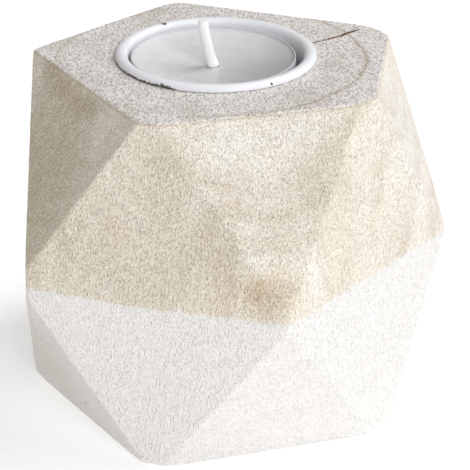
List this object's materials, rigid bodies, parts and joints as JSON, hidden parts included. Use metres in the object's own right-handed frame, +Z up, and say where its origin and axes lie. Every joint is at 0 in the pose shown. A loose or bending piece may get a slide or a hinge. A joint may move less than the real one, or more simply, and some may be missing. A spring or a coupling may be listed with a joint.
{
  "type": "wooden candlestick",
  "caption": "Faceted wooden block with a rolled-edge metal cup let into its flat top, holding a tealight in its shell with wax and wick.",
  "frame": {"origin": "on the axis of the metal cup, at the middle of the flat base that the block stands on", "axes": "+Z up along the cup's axis, -Y towards the side with the long sloping edge down to the belt's front corner, +X to the right of that view"},
  "size_m": [0.0994, 0.1052, 0.0912],
  "materials": {
    "painted_wood": "bare pale wood above the belt, matt white paint below it",
    "white_enamel": "white paint, satin",
    "clear_shell": "thin clear plastic",
    "paraffin": "unscented white wax, slightly glossy",
    "waxed_cotton": "white waxed cotton braid",
    "tin": "plain tinplate"
  },
  "bodies": {
    "block": {"wood_block": "painted_wood"},
    "cup": {"metal_cup": "white_enamel"},
    "tealight": {"tealight_cup": "clear_shell", "wax": "paraffin", "wick": "waxed_cotton", "wick_sustainer": "tin"}
  },
  "joints": [
    {"name": "cup_lift", "type": "slide", "parent": "block", "child": "cup", "axis": [0, 0, 1], "range_m": [0, 0.03]},
    {"name": "tealight_lift", "type": "slide", "parent": "cup", "child": "tealight", "axis": [0, 0, 1], "range_m": [0, 0.03]}
  ]
}
